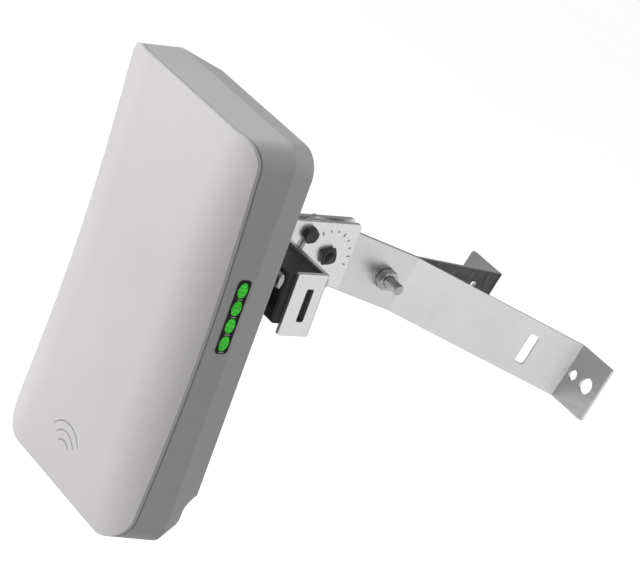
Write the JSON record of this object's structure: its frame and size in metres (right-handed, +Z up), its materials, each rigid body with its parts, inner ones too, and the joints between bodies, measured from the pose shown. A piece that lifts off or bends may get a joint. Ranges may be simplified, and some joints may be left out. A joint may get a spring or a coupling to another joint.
{
  "type": "outdoor wireless bridge",
  "caption": "Flat outdoor wireless bridge on a tilting and swivelling wall or pole bracket, with status lights and a sliding cable cover.",
  "frame": {"origin": "middle of the wall plane, between the two flanges, on the line of the wall bolts", "axes": "+Z up, +Y into the wall or pole, -Y the way the antenna faces, +X to the right as the front is seen"},
  "size_m": [0.17, 0.3727, 0.2794],
  "materials": {
    "cover_plastic": "satin",
    "housing_plastic": "matte",
    "dark_rubber": "matte",
    "zinc_steel": "satin",
    "circuit_board": "gloss",
    "copper": "satin",
    "plain_aluminium": "satin",
    "brass_spacer": "satin",
    "tin_plate": "satin",
    "black_plastic": "matte",
    "green_lens": "gloss",
    "label_film": "matte",
    "black_casting": "satin",
    "black_steel": "satin",
    "pressed_steel": "satin"
  },
  "bodies": {
    "wall_bracket": {"left_arm": "pressed_steel", "right_arm": "pressed_steel", "clamp_stud": "zinc_steel", "clamp_nuts": "zinc_steel", "clamp_washers": "zinc_steel", "pivot_stud": "black_steel", "pivot_nuts": "black_steel", "lock_bolt": "black_steel", "lock_nut": "black_steel"},
    "yoke": {"yoke_left": "pressed_steel", "yoke_right": "pressed_steel", "swivel_block": "black_casting", "block_bolts": "zinc_steel", "block_nuts": "zinc_steel"},
    "cable_door": {"cable_cover": "housing_plastic", "cable_grommet": "dark_rubber"},
    "reset": {"reset_button": "black_plastic"},
    "radio": {"antenna_board": "circuit_board", "antenna_patches": "copper", "antenna_screws": "zinc_steel", "board_screws": "zinc_steel", "board_spacers": "brass_spacer", "case_screws": "zinc_steel", "case_seal": "dark_rubber", "earth_screw": "zinc_steel", "foot_screws": "black_steel", "front_cover": "cover_plastic", "jack_seal": "dark_rubber", "main_board": "circuit_board", "network_jack": "black_plastic", "rating_plate": "label_film", "rear_housing": "housing_plastic", "reflector_plate": "plain_aluminium", "reset_switch": "black_plastic", "shield_cans": "tin_plate", "status_board": "circuit_board", "status_leds": "green_lens", "status_lenses": "green_lens", "status_window": "black_plastic", "swivel_bolt": "black_steel", "swivel_foot": "black_casting", "swivel_nut": "black_steel", "vent_plug": "black_plastic"}
  },
  "joints": [
    {"name": "tilt", "type": "hinge", "parent": "wall_bracket", "child": "yoke", "pos_m": [0, -0.208, 0], "axis": [1, 0, 0], "range_deg": [-45, 5]},
    {"name": "swivel", "type": "hinge", "parent": "yoke", "child": "radio", "pos_m": [0, -0.27141, -0.02993], "axis": [0, -0.2588, 0.9659], "range_deg": [-20, 20]},
    {"name": "cable_cover_slide", "type": "slide", "parent": "radio", "child": "cable_door", "axis": [0, 0.2588, -0.9659], "range_m": [0, 0.04]},
    {"name": "reset_press", "type": "slide", "parent": "radio", "child": "reset", "axis": [0, -0.2588, 0.9659], "range_m": [0, 0.0008]}
  ]
}
